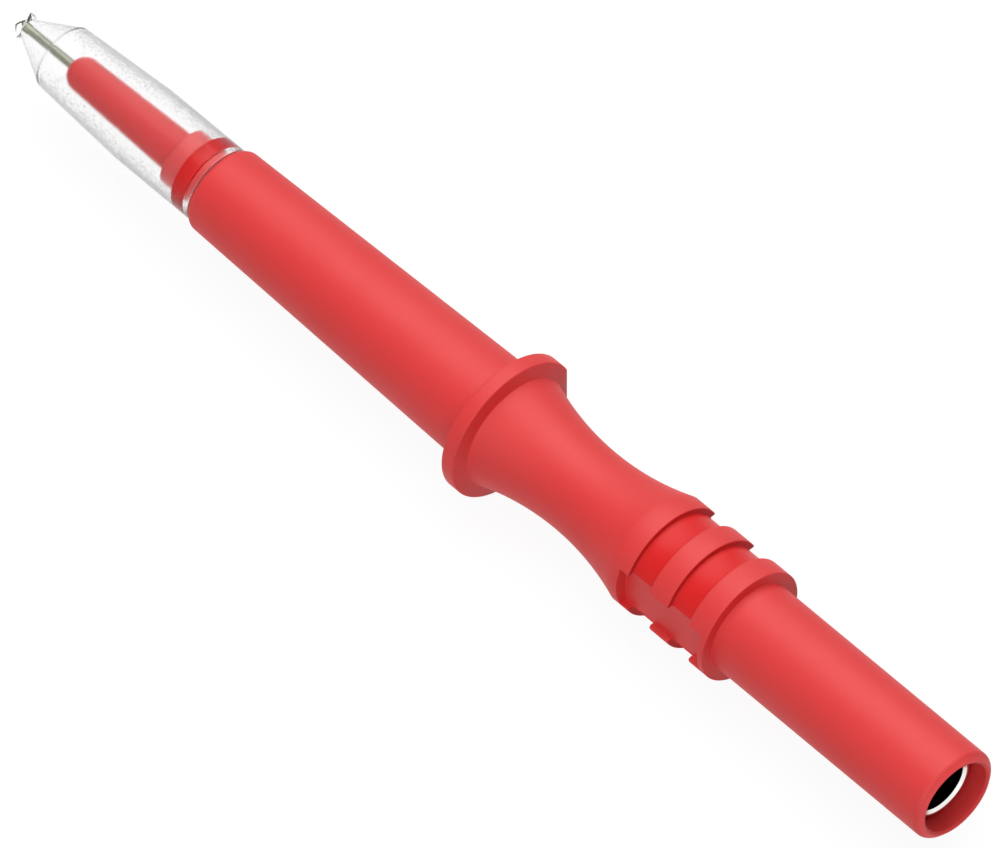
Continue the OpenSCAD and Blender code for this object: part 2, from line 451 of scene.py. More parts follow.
@dataclass(frozen=True)
class ClearPlastic:
    """Clear moulded plastic with a slight haze; its colour is painted grey as painted shade where
    it is seen edge on, painted darker on the crown, painted less grey on the cone and painted
    with a dark line round the shoulder.

    The profile gives the station and radius of the taper's start, the shoulder and the crown.
    """

    name: str
    base: Colour = (1.0, 1.0, 1.0)
    # Painted shade: the colour where the cap is seen edge on.
    edge: Colour = (0.42, 0.42, 0.42)
    edge_start: float = 0.33
    edge_end: float = 0.66
    profile: tuple[Point, Point, Point] = ((76.67, 2.835), (84.32, 2.4), (87.8, 0.7))
    # Less painted shade on the cone, which paints it lighter.
    cone_lightening: float = 0.2
    cone_fade: float = 0.1
    # Painted shade: a darker colour for the crown where it is seen edge on.
    crown_edge: Colour = (0.25, 0.25, 0.25)
    crown_fade: float = 0.15
    # Painted shade: a dark line round the shoulder.
    shoulder_shade: float = 0.16
    shoulder_shade_core: float = 0.3
    shoulder_shade_share: float = 0.4
    shoulder_shade_spread: float = 0.4
    skin: float = 0.3
    skin_fade: float = 0.05
    roughness: float = 0.15
    roughness_spread: float = 0.08
    ior: float = 1.49
    sheen: Colour = (0.1, 0.1, 0.1)
    grain: float = 0.16
    grain_detail: float = 2.0
    grain_seed: float = 0.17
    grain_contrast: float = 1.0
    grain_depth: float = 0.004
    grain_strength: float = 0.3

    def make(self) -> bpy.types.Material:
        """Makes the material.

        Returns:
            The material.
        """
        material, tree = new_material(self.name)
        grain = tree.noise(self.grain, self.grain_detail, self.grain_seed)
        # The colour is painted grey where the surface is seen edge on: painted shade, speckled by
        # the grain.
        facing = tree.node("ShaderNodeLayerWeight", {}, {"Blend": 0.5}, "Facing")
        turned = facing + varied(grain, self.grain_contrast)
        # On the cone less grey is painted, so the cone is painted lighter.
        turned = turned - self.cone_lightening * self._on_cone(tree)
        edge = tree.ramp(turned, self.edge_start, self.edge_end)
        outside = self._outside(tree)
        shoulder, crown = self.profile[1][0], self.profile[2][0]
        # A painted dark line, painted shade, runs round the shoulder.
        beside = (tree.station() - shoulder).size() + varied(grain, self.shoulder_shade_spread)
        shoulder_shade = tree.ramp(beside, self.shoulder_shade, self.shoulder_shade_core * self.shoulder_shade)
        edge = (edge + self.shoulder_shade_share * shoulder_shade).at_most(1.0) * outside
        # On the crown the painted shade is darker.
        on_crown = tree.ramp(tree.station(), crown, crown + self.crown_fade)
        edge_shade_colour = tree.blend(on_crown, rgba(self.edge), rgba(self.crown_edge))
        surface = tree.node(
            "ShaderNodeBsdfPrincipled",
            {},
            {
                "Base Color": tree.blend(edge, rgba(self.base), edge_shade_colour),
                "Roughness": self.roughness + varied(grain, self.roughness_spread),
                "Normal": tree.bump(grain, self.grain_depth, self.grain_strength),
                "IOR": self.ior,
                "Specular Tint": rgba(self.sheen),
                "Transmission Weight": 1.0,
            },
        )
        tree.node("ShaderNodeOutputMaterial", {}, {"Surface": surface})
        return material

    def _outside(self, tree: Tree) -> Term:
        """Tells the cap's outside from its bore.

        Args:
            tree: The material's tree.

        Returns:
            1 on the outside and 0 in the bore.
        """
        station = tree.station()
        limit: Value = self.profile[0][1]
        for (start, wide), (end, narrow) in zip(self.profile, self.profile[1:]):
            slope = (wide - narrow) / (end - start)
            limit = (wide - (station - start) * slope).at_most(limit)
        return tree.ramp(tree.radius() - limit, -self.skin - self.skin_fade, -self.skin)

    def _on_cone(self, tree: Tree) -> Term:
        """Tells the cone from the rest of the cap.

        Args:
            tree: The material's tree.

        Returns:
            1 on the cone and 0 off it.
        """
        station = tree.station()
        shoulder, crown = self.profile[1][0], self.profile[2][0]
        on_cone = tree.ramp(station, shoulder - self.cone_fade, shoulder + self.cone_fade)
        return on_cone * tree.ramp(station, crown + self.cone_fade, crown)


@dataclass(frozen=True)
class TurnedMetal:
    """Bare or plated metal with fine turning marks across the axis.

    What lies inside a radius can be painted dark as painted shade, and all that lies ahead of
    each band's station can be painted a colour of its own as painted highlight and shade.
    """

    name: str
    base: Colour
    dark: Colour
    roughness: float = 0.28
    roughness_spread: float = 0.12
    mark: float = 0.05
    mark_stretch: float = 0.06
    mark_depth: float = 0.0015
    mark_strength: float = 0.5
    mark_share: float = 0.45
    tarnish: float = 1.2
    tarnish_seed: float = 0.53
    detail: float = 3.0
    # Painted shade: a radius inside which the colour is painted dark.
    inside: "tuple[float, Colour] | None" = None
    painted_light_bands: tuple[tuple[float, Colour], ...] = ()
    band_fade: float = 0.04

    def make(self) -> bpy.types.Material:
        """Makes the material.

        Returns:
            The material.
        """
        material, tree = new_material(self.name)
        marks = tree.turning_marks(self.mark, self.detail, self.mark_stretch)
        tarnish = tree.noise(self.tarnish, self.detail, self.tarnish_seed)
        worn = self.mark_share * marks + (1 - self.mark_share) * tarnish
        colour = tree.blend(worn, rgba(self.base), rgba(self.dark))
        # What lies inside the radius is painted dark: painted shade.
        if self.inside is not None:
            radius, bore_shade_colour = self.inside
            mask = tree.ramp(tree.radius(), radius, radius - HAIR)
            colour = tree.blend(mask, colour, rgba(bore_shade_colour))
        # Each band paints its colour over all that lies ahead of its station: painted highlight
        # and shade.
        for at, painted_band_colour in self.painted_light_bands:
            mask = tree.ramp(tree.station(), at, at + self.band_fade)
            colour = tree.blend(mask, colour, rgba(painted_band_colour))
        surface = tree.node(
            "ShaderNodeBsdfPrincipled",
            {},
            {
                "Base Color": colour,
                "Metallic": 1.0,
                "Roughness": self.roughness + varied(marks, self.roughness_spread),
                "Normal": tree.bump(marks, self.mark_depth, self.mark_strength),
            },
        )
        tree.node("ShaderNodeOutputMaterial", {}, {"Surface": surface})
        return material


@dataclass(frozen=True)
class StudioFloor:
    """Pale floor that shows white and keeps a faint shadow."""

    name: str = "pale_floor"
    bounce: float = 0.47
    shown: float = 0.1
    glow: float = 0.93

    def make(self) -> bpy.types.Material:
        """Makes the material.

        Returns:
            The material.
        """
        material, tree = new_material(self.name)
        plain = tree.node("ShaderNodeBsdfDiffuse", {}, {"Color": rgba((self.bounce,) * 3)})
        faint = tree.node("ShaderNodeBsdfDiffuse", {}, {"Color": rgba((self.shown,) * 3)})
        glow = tree.node("ShaderNodeEmission", {}, {"Color": WHITE, "Strength": self.glow})
        seen = tree.node("ShaderNodeAddShader", {}, {0: faint, 1: glow})
        layers = {"Fac": seen_directly(tree), 1: plain, 2: seen}
        surface = tree.node("ShaderNodeMixShader", {}, layers)
        tree.node("ShaderNodeOutputMaterial", {}, {"Surface": surface})
        return material


def seen_directly(tree: Tree) -> Term:
    """Tells the rays that show the background from those that carry light.

    Args:
        tree: The tree to add the nodes to.

    Returns:
        1 for camera, glossy and transmission rays, less where a dull surface has scattered
        them, and 0 for others.
    """
    kinds = ("Is Camera Ray", "Is Glossy Ray", "Is Transmission Ray", "Diffuse Depth")
    camera, glossy, through, scattered = (
        tree.node("ShaderNodeLightPath", output=kind) for kind in kinds
    )
    dimmed = 1 - scattered.at_most(1.0) * (1 - SCATTERED_SHARE)
    return (camera + glossy + through).at_most(1.0) * dimmed


# Shapes


@dataclass(frozen=True)
class Corner:
    """A corner of a turned piece's outline, with the rounding that it gets."""

    at: float
    radius: float
    round: float = 0.0
    steps: int = 5


def fillet(before: Point, corner: Point, after: Point, radius: float, steps: int) -> list[Point]:
    """Rounds one corner of a line.

    Args:
        before: The point before the corner.
        corner: The corner.
        after: The point after the corner.
        radius: Radius of the rounding.
        steps: Number of straight pieces in the rounding.

    Returns:
        The points of the rounding, one more than its pieces.
    """
    a, b, c = Vector(before), Vector(corner), Vector(after)
    into, out = (a - b).normalized(), (c - b).normalized()
    half = into.angle(out) / 2
    reach = radius / math.tan(half)
    limit = ROUNDING_LIMIT * min((a - b).length, (c - b).length)
    if reach > limit:
        reach = limit
        radius = reach * math.tan(half)
    middle = b + (into + out).normalized() * (radius / math.sin(half))
    start, end = b + into * reach - middle, b + out * reach - middle
    turn = start.angle(end)
    points = []
    for i in range(steps + 1):
        share = i / steps
        first = math.sin((1 - share) * turn) / math.sin(turn)
        second = math.sin(share * turn) / math.sin(turn)
        spot = middle + start * first + end * second
        points.append((spot.x, spot.y))
    return points


def outline(corners: Sequence[Corner], longest: float = 1.5) -> list[Point]:
    """Draws a closed outline with rounded corners.

    Args:
        corners: The corners in order.
        longest: Longest straight piece left in one.

    Returns:
        Stations and radii, in order.
    """
    drawn: list[Point] = []
    count = len(corners)
    for i, corner in enumerate(corners):
        before, after = corners[i - 1], corners[(i + 1) % count]
        here = (corner.at, corner.radius)
        if corner.round > 0:
            drawn += fillet(
                (before.at, before.radius),
                here,
                (after.at, after.radius),
                corner.round,
                corner.steps,
            )
        else:
            drawn.append(here)
    full: list[Point] = []
    for i, here in enumerate(drawn):
        after = drawn[(i + 1) % len(drawn)]
        full.append(here)
        pieces = math.ceil(math.dist(here, after) / longest)
        full += [between(here, after, j / pieces) for j in range(1, pieces)]
    return full


def between(first: Point, second: Point, share: float) -> Point:
    """The point that lies a share of the way from one point to another."""
    return tuple(a + (b - a) * share for a, b in zip(first, second))


def place(at: float, across: Point) -> Spot:
    """Turns a station and a place across the axis into metres.

    Args:
        at: The station.
        across: Distances from the axis along Y and Z.

    Returns:
        The point in the scene.
    """
    return ((RIM_X - at) * MM, across[0] * MM, across[1] * MM)


def loft(name: str, rings: Sequence[Sequence[Spot]]) -> bpy.types.Object:
    """Joins closed rings of points into one closed skin, the last ring to the first.

    Args:
        name: Name of the piece.
        rings: Rings with the same number of points.

    Returns:
        The piece.
    """
    count, around = len(rings), len(rings[0])
    points = [point for ring in rings for point in ring]
    faces = []
    for i in range(count):
        here, there = i * around, (i + 1) % count * around
        for j in range(around):
            k = (j + 1) % around
            faces.append((here + j, here + k, there + k, there + j))
    mesh = bpy.data.meshes.new(name)
    mesh.from_pydata(points, [], faces)
    mesh.validate()
    piece = bpy.data.objects.new(name, mesh)
    bpy.context.scene.collection.objects.link(piece)
    return piece


def turn(
    name: str,
    line: Sequence[Point],
    shift: Callable[[float, float, float], float] | None = None,
) -> bpy.types.Object:
    """Turns a closed outline about the axis.

    Args:
        name: Name of the piece.
        line: Stations and radii of the outline.
        shift: Backward shift of a point, from its station, its radius and its angle.

    Returns:
        The piece.
    """
    rings = []
    for at, radius in line:
        ring = []
        for i in range(COLUMNS):
            angle = 2 * math.pi * i / COLUMNS
            back = shift(at, radius, angle) if shift else 0.0
            ring.append(place(at - back, (radius * math.sin(angle), radius * math.cos(angle))))
        rings.append(ring)
    return loft(name, rings)


def smooth(piece: bpy.types.Object, sharp: float) -> None:
    """Turns a closed skin's faces outwards and shades it smoothly, with flat faces left flat.

    Args:
        piece: The piece.
        sharp: Angle in degrees from which an edge stays crisp.
    """
    mesh = bmesh.new()
    mesh.from_mesh(piece.data)
    bmesh.ops.recalc_face_normals(mesh, faces=mesh.faces)
    mesh.to_mesh(piece.data)
    mesh.free()
    piece.data.shade_smooth()
    piece.data.set_sharp_from_angle(angle=math.radians(sharp))
    even = piece.modifiers.new("even_shading", "WEIGHTED_NORMAL")
    even.keep_sharp = True


def dress(
    piece: bpy.types.Object,
    material: bpy.types.Material,
    slot: Slot,
    body: Body,
    node: str,
    sharp: float = SHARP,
) -> None:
    """Shades and dresses a piece and puts it in the place of a CAD node.

    Args:
        piece: The piece.
        material: Its material.
        slot: The record's slot that the finish belongs to.
        body: The body it rides on.
        node: The CAD node it stands for.
        sharp: Angle in degrees from which an edge stays crisp.
    """
    smooth(piece, sharp)
    piece.data.materials.append(material)
    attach(piece, body.value)
    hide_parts(node)
    LOG.info("%s: %d faces, %s", piece.name, len(piece.data.polygons), slot.value)


# Sub-assemblies


@dataclass
class Handle:
    """Rear insulating moulding: plug sleeve, ribs, waist and finger guard."""

    finish: MouldedPlastic
    sleeve_r: float = 3.35
    sleeve_bore_r: float = 2.65
    sleeve_len: float = 19.4
    rim_at: float = 0.1
    rim_r: float = 2.88
    rim_bevel: float = 0.45
    rim_edge: float = 0.05
    lead_in: float = 0.23
    lead_in_edge: float = 0.04
    rib_r: float = 4.19
    groove_r: float = 3.75
    rib_len: float = 1.78
    groove_len: float = 1.88
    rib_count: int = 3
    land_len: float = 1.45
    waist_len: float = 13.5
    waist_r: float = 3.115
    waist_steps: int = 44
    recess_at: float = 19.9
    recess_len: float = 7.56
    recess_w: float = 3.35
    recess_floor: float = 3.32
    recess_least: float = 0.02
    recess_spread: float = 0.9
    guard_r: float = 5.25
    guard_len: float = 1.1
    guard_flat: float = 4.8
    guard_dish: float = 0.19
    guard_round: float = 0.12
    edge_round: float = 0.06
    front_round: float = 0.25
    root_round: float = 0.05
    contact_end: float = 25.5
    rod_r: float = 1.3
    spigot_at: float = 36.77
    spigot_r: float = 2.31
    arc_columns: int = 36
    floor_columns: int = 12
    edge_steps: int = 3
    wall_steps: int = 4

    @property
    def waist_at(self) -> float:
        """Station where the waist starts."""
        pitch = self.rib_len + self.groove_len
        return self.sleeve_len + (self.rib_count - 1) * pitch + self.land_len

    @property
    def guard_at(self) -> float:
        """Station of the guard's rear face."""
        return self.waist_at + self.waist_len

    @property
    def front(self) -> float:
        """Station of the guard's front face."""
        return self.guard_at + self.guard_len

    def quarter(self, radius: float, cut: Cut) -> list[Point]:
        """Draws a quarter of the section, from the top to the middle of one side.

        Args:
            radius: Radius of the round part.
            cut: What is cut from this side.

        Returns:
            Distances sideways and upwards, always the same number of points.
        """
        edge = self._edge(radius, cut)
        start = math.atan2(edge[0][1], edge[0][0])
        points = []
        for i in range(self.arc_columns):
            angle = math.pi / 2 + (start - math.pi / 2) * i / self.arc_columns
            points.append((radius * math.cos(angle), radius * math.sin(angle)))
        points += edge
        last = edge[-1]
        round_floor = cut is Cut.NONE or self._flat_of(radius, cut) >= radius
        for i in range(1, self.floor_columns + 1):
            share = 1 - i / self.floor_columns
            if round_floor:
                angle = math.atan2(last[1], last[0]) * share
                points.append((radius * math.cos(angle), radius * math.sin(angle)))
            else:
                points.append((last[0], last[1] * share))
        return points

    def _flat_of(self, radius: float, cut: Cut) -> float:
        """Finds a cut's flat.

        Args:
            radius: Radius of the round part.
            cut: What is cut from this side.

        Returns:
            The flat's distance from the axis.
        """
        if cut is Cut.SLOT:
            return self.recess_floor
        return self.guard_flat - (self.guard_r - radius)

    def _edge(self, radius: float, cut: Cut) -> list[Point]:
        """Draws the part of the section around the cut's edge.

        Args:
            radius: Radius of the round part.
            cut: What is cut from this side.

        Returns:
            Distances sideways and upwards.
        """
        count = 2 * (self.edge_steps + 1)
        half = self.recess_w / 2
        flat = self._flat_of(radius, cut) if cut is not Cut.NONE else radius
        if flat >= radius:
            middle, spread = math.asin(half / self.rib_r), math.radians(self.recess_spread)
            angles = [middle + spread * (1 - 2 * i / (count - 1)) for i in range(count)]
            return [(radius * math.cos(a), radius * math.sin(a)) for a in angles]
        deep = cut is Cut.SLOT and radius > math.hypot(flat, half) + self.recess_least
        up = half if deep else math.sqrt(radius**2 - flat**2)
        top = (math.sqrt(radius**2 - up**2), up)
        along = Vector((-top[1], top[0])).normalized()
        before = (top[0] + along.x, top[1] + along.y)
        if not deep:
            return fillet(before, top, (flat, 0.0), self.edge_round, count - 1)
        bottom = (flat, half)
        wall = top[0] - bottom[0]
        most = wall / 3
        crest = fillet(before, top, bottom, min(self.edge_round, most), self.edge_steps)
        root = fillet(top, bottom, (flat, 0.0), min(self.root_round, most), self.edge_steps)
        return crest + root

    def section(self, radius: float, right: Cut, left: Cut) -> list[Point]:
        """Draws the whole section.

        Args:
            radius: Radius of the round part.
            right: What is cut from the +Y side.
            left: What is cut from the -Y side.

        Returns:
            Distances along Y and Z, from the top over the +Y side.
        """
        near, far = self.quarter(radius, right), self.quarter(radius, left)
        points = near + [(y, -z) for y, z in reversed(near[1:-1])]
        points += [(-y, -z) for y, z in far]
        points += [(-y, z) for y, z in reversed(far[1:-1])]
        return points

    def recess_end(self, at: float, inwards: int) -> list[Point]:
        """Steps from the round section down to the recess's floor at one of its ends.

        Args:
            at: Station of the end wall.
            inwards: 1 where the recess lies forwards of the wall, -1 where it lies behind it.

        Returns:
            Stations and shares of the recess's depth.
        """
        depth = self.rib_r - self.recess_floor
        edge, foot = self.edge_round, self.root_round
        crest, root = [], []
        for i in range(self.wall_steps + 1):
            angle = math.pi / 2 * i / self.wall_steps
            early, late = 1 - math.cos(angle), 1 - math.sin(angle)
            crest.append((at - inwards * edge * late, edge * early / depth))
            root.append((at + inwards * foot * early, 1 - foot * late / depth))
        rows = crest + root
        return rows if inwards > 0 else rows[::-1]

    def skin(self) -> list[Corner]:
        """Draws the outside.

        Returns:
            Its corners, from the rim to the guard's front face.
        """
        corners = [
            Corner(self.lead_in, self.sleeve_bore_r, self.lead_in_edge, steps=3),
            Corner(self.rim_at, self.rim_r, self.rim_edge, steps=4),
            Corner(self.rim_bevel, self.sleeve_r, self.rim_bevel, steps=9),
        ]
        for i in range(self.rib_count):
            at = self.sleeve_len + i * (self.rib_len + self.groove_len)
            floor = self.sleeve_r if i == 0 else self.groove_r
            corners.append(Corner(at, floor, self.root_round, steps=3))
            corners.append(Corner(at, self.rib_r, self.edge_round, steps=4))
            if i < self.rib_count - 1:
                corners.append(Corner(at + self.rib_len, self.rib_r, self.front_round, steps=7))
                corners.append(Corner(at + self.rib_len, self.groove_r, self.root_round, steps=3))
        sag, length = self.rib_r - self.waist_r, self.waist_len - self.guard_dish
        arc = ((length / 2) ** 2 + sag**2) / (2 * sag)
        middle = self.waist_at + length / 2
        for i in range(self.waist_steps + 1):
            at = self.waist_at + length * i / self.waist_steps
            radius = self.waist_r + arc - math.sqrt(arc**2 - (at - middle) ** 2)
            rounding = self.root_round if i == self.waist_steps else 0.0
            corners.append(Corner(at, radius, rounding, steps=3))
        corners.append(Corner(self.guard_at, self.guard_r, self.guard_round, steps=5))
        corners.append(Corner(self.front, self.guard_r, self.guard_round, steps=5))
        return corners

    def inside(self) -> list[Corner]:
        """Corners of the bores, from the guard's front face back to the sleeve's mouth."""
        return [
            Corner(self.front, self.spigot_r, self.root_round, steps=3),
            Corner(self.spigot_at, self.spigot_r),
            Corner(self.spigot_at, self.rod_r),
            Corner(self.contact_end, self.rod_r),
            Corner(self.contact_end, self.sleeve_bore_r),
        ]

    def build(self) -> None:
        """Builds the moulding."""
        line = outline(self.skin() + self.inside())
        start, end = self.recess_at, self.recess_at + self.recess_len
        walls = {start: self.recess_end(start, 1), end: self.recess_end(end, -1)}
        rings = []
        for i, (at, radius) in enumerate(line):
            outside = radius > self.groove_r - HAIR
            cut = Cut.SLOT if outside and start < at < end else Cut.NONE
            right = Cut.FLAT if radius > self.guard_flat else cut
            rings.append([place(at, p) for p in self.section(radius, right, cut)])
            after = line[(i + 1) % len(line)]
            for wall, rows in walls.items():
                if outside and at < wall < after[0]:
                    rings += self._wall_rings(rows)
        piece = loft("handle_moulding", rings)
        dress(piece, self.finish.make(), Slot.RED, Body.PROBE, "handle")

    def _wall_rings(self, rows: Sequence[Point]) -> list[list[Spot]]:
        """Rings of one end wall of the recess.

        Args:
            rows: Stations and shares of the recess's depth.

        Returns:
            The rings.
        """
        plain = self.section(self.rib_r, Cut.NONE, Cut.NONE)
        sunk = self.section(self.rib_r, Cut.SLOT, Cut.SLOT)
        return [
            [place(at, between(high, low, share)) for high, low in zip(plain, sunk)]
            for at, share in rows
        ]


@dataclass
class Barrel:
    """Front insulating moulding with the collar, the band's groove and the nose."""

    finish: MouldedPlastic
    spigot_at: float = 36.77
    spigot_r: float = 2.3
    spigot_edge: float = 0.1
    rear: float = 42.77
    rear_r: float = 3.77
    front: float = 69.32
    front_r: float = 3.125
    bevel: float = 0.5
    edge: float = 0.04
    collar_r: float = 2.1
    collar_root: float = 0.05
    collar_end: float = 72.72
    collar_round: float = 0.3
    nose_rear_r: float = 1.47
    nose_root: float = 0.1
    nose_front_r: float = 1.2
    nose_round_at: float = 82.12
    nose_steps: int = 16
    groove_at: float = 70.14
    groove_w: float = 1.16
    groove_r: float = 1.65
    needle_r: float = 0.32
    rod_r: float = 0.85
    rod_end: float = 80.0

    def build(self) -> None:
        """Builds the moulding."""
        groove_end = self.groove_at + self.groove_w
        corners = [
            Corner(self.spigot_at, self.rod_r),
            Corner(self.spigot_at, self.spigot_r, self.spigot_edge, steps=3),
            Corner(self.rear, self.spigot_r),
            Corner(self.rear, self.rear_r, self.edge, steps=3),
            Corner(self.front, self.front_r, self.bevel, steps=10),
            Corner(self.front, self.collar_r, self.collar_root, steps=3),
            Corner(self.groove_at, self.collar_r, self.edge, steps=3),
            Corner(self.groove_at, self.groove_r),
            Corner(groove_end, self.groove_r),
            Corner(groove_end, self.collar_r, self.edge, steps=3),
            Corner(self.collar_end, self.collar_r, self.collar_round, steps=6),
            Corner(self.collar_end, self.nose_rear_r, self.nose_root, steps=4),
        ]
        for i in range(self.nose_steps):
            angle = math.pi / 2 * i / self.nose_steps
            at = self.nose_round_at + self.nose_front_r * math.sin(angle)
            radius = self.nose_front_r * math.cos(angle)
            if radius > self.needle_r:
                corners.append(Corner(at, radius))
        reach = math.sqrt(self.nose_front_r**2 - self.needle_r**2)
        corners.append(Corner(self.nose_round_at + reach, self.needle_r))
        corners.append(Corner(self.rod_end, self.needle_r))
        corners.append(Corner(self.rod_end, self.rod_r))
        piece = turn("barrel_moulding", outline(corners))
        dress(piece, self.finish.make(), Slot.BARREL, Body.PROBE, "barrel")


@dataclass
class CapBand:
    """Rubber band round the collar, pressed against the cap's bore."""

    finish: MouldedPlastic
    at: float = 70.16
    width: float = 1.12
    inner_r: float = 1.66
    outer_r: float = 2.195
    inner_round: float = 0.1
    outer_round: float = 0.04

    def build(self) -> None:
        """Builds the band."""
        end = self.at + self.width
        corners = [
            Corner(self.at, self.inner_r, self.inner_round, steps=3),
            Corner(self.at, self.outer_r, self.outer_round, steps=4),
            Corner(end, self.outer_r, self.outer_round, steps=4),
            Corner(end, self.inner_r, self.inner_round, steps=3),
        ]
        piece = turn("friction_band", outline(corners))
        dress(piece, self.finish.make(), Slot.BAND, Body.PROBE, "cap_band")


@dataclass
class TipCap:
    """Clear push-on cap with a notched crown around the needle's point."""

    finish: ClearPlastic
    rear: float = 69.37
    taper_at: float = 76.67
    shoulder_at: float = 84.32
    crown_at: float = 87.72
    front: float = 88.2
    outer_r: float = 2.835
    bore_r: float = 2.18
    shoulder_r: float = 2.4
    wall: float = 0.55
    rear_edge: float = 0.05
    taper_round: float = 2.0
    shoulder_round: float = 0.5
    shoulder_bore_round: float = 0.8
    bore_end_round: float = 0.1
    longest: float = 0.6
    sharp: float = 50.0
    crown_root_r: float = 0.7
    crown_bore_r: float = 0.48
    crown_r: float = 0.97
    crown_flare_r: float = 0.8
    crown_root: float = 0.08
    crown_edge: float = 0.03
    notch_at: float = 87.82
    notch_depth: float = 0.46
    notch_w: float = 1.4
    crown_turn: float = 41.5
    crown_count: int = 4

    def notch(self, at: float, radius: float, angle: float) -> float:
        """Depth of the crown's notches at a point of its end face.

        Args:
            at: Station of the point.
            radius: Its distance from the axis.
            angle: Its angle from the top.

        Returns:
            The backward shift.
        """
        part = 2 * math.pi / self.crown_count
        from_point = (angle - math.radians(self.crown_turn)) % part
        beside = radius * math.sin(abs(from_point - part / 2))
        depth = max(0.0, self.notch_depth * (1 - 2 * beside / self.notch_w))
        room = max(0.0, (at - self.notch_at) / (self.front - self.notch_at))
        return depth * min(1.0, room)

    def build(self) -> None:
        """Builds the cap."""
        slope = (self.shoulder_r - self.crown_root_r) / (self.crown_at - self.shoulder_at)
        shoulder_bore = self.shoulder_r - self.wall
        bore_end = self.shoulder_at + (shoulder_bore - self.crown_bore_r) / slope
        corners = [
            Corner(self.rear, self.bore_r, self.rear_edge, steps=3),
            Corner(self.rear, self.outer_r, self.rear_edge, steps=3),
            Corner(self.taper_at, self.outer_r, self.taper_round, steps=4),
            Corner(self.shoulder_at, self.shoulder_r, self.shoulder_round, steps=8),
            Corner(self.crown_at, self.crown_root_r, self.crown_root, steps=4),
            Corner(self.front, self.crown_r, self.crown_edge, steps=3),
            Corner(self.front, self.crown_flare_r, self.crown_edge, steps=3),
            Corner(self.crown_at, self.crown_bore_r, self.crown_root, steps=4),
            Corner(bore_end, self.crown_bore_r, self.bore_end_round, steps=3),
            Corner(self.shoulder_at, shoulder_bore, self.shoulder_bore_round, steps=7),
            Corner(self.taper_at, self.bore_r, self.taper_round, steps=4),
        ]
        piece = turn("clear_cap", outline(corners, self.longest), self.notch)
        dress(piece, self.finish.make(), Slot.CLEAR, Body.CAP, "tip_cap", self.sharp)


@dataclass
class Needle:
    """Steel needle with a ground point."""

    finish: TurnedMetal
    rear: float = 73.82
    front: float = 88.27
    radius: float = 0.31
    point: float = 0.4
    blunt_r: float = 0.03
    edge: float = 0.05
    sharp: float = 40.0

    def build(self) -> None:
        """Builds the needle."""
        corners = [
            Corner(self.rear, CORE_R),
            Corner(self.rear, self.radius, self.edge, steps=3),
            Corner(self.front - self.point, self.radius, self.edge, steps=3),
            Corner(self.front, self.blunt_r, HAIR, steps=3),
            Corner(self.front, CORE_R),
        ]
        piece = turn("needle_point", outline(corners))
        dress(piece, self.finish.make(), Slot.NEEDLE, Body.PROBE, "needle", self.sharp)


@dataclass
class Conductors:
    """Metal parts inside the mouldings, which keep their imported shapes."""

    finishes: dict[str, TurnedMetal]

    def build(self) -> None:
        """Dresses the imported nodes."""
        for name, finish in self.finishes.items():
            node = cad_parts[name]
            node.data.materials.clear()
            node.data.materials.append(finish.make())
            LOG.info("%s: packed shape, %s", name, finish.name)


@dataclass(frozen=True)
class Lamp:
    """Round softbox, placed by its direction and half its angle as seen from the probe."""

    name: str
    azimuth: float
    elevation: float
    half_angle: float
    share: float
    distance: float = 700.0

    def hang(self, target: Vector) -> None:
        """Hangs the lamp.

        Args:
            target: Point that it faces, in metres.
        """
        a, e = math.radians(self.azimuth), math.radians(self.elevation)
        away = Vector((math.cos(a) * math.cos(e), math.sin(a) * math.cos(e), math.sin(e)))
        radius = self.distance * MM * math.tan(math.radians(self.half_angle))
        radiance = self.share / math.sin(math.radians(self.half_angle)) ** 2
        lamp = bpy.data.lights.new(self.name, "AREA")
        lamp.shape = "DISK"
        lamp.size = 2 * radius
        lamp.energy = radiance * math.pi**2 * radius**2
        holder = bpy.data.objects.new(self.name, lamp)
        holder.location = target + away * self.distance * MM
        holder.rotation_mode = "QUATERNION"
        holder.rotation_quaternion = away.to_track_quat("Z", "Y")
        holder.visible_camera = False
        bpy.context.scene.collection.objects.link(holder)


KEY = Lamp("key_softbox", azimuth=123.5, elevation=74.0, half_angle=34.1, share=0.728)
FRONT = Lamp("front_softbox", azimuth=-61.9, elevation=24.2, half_angle=33.4, share=0.379)


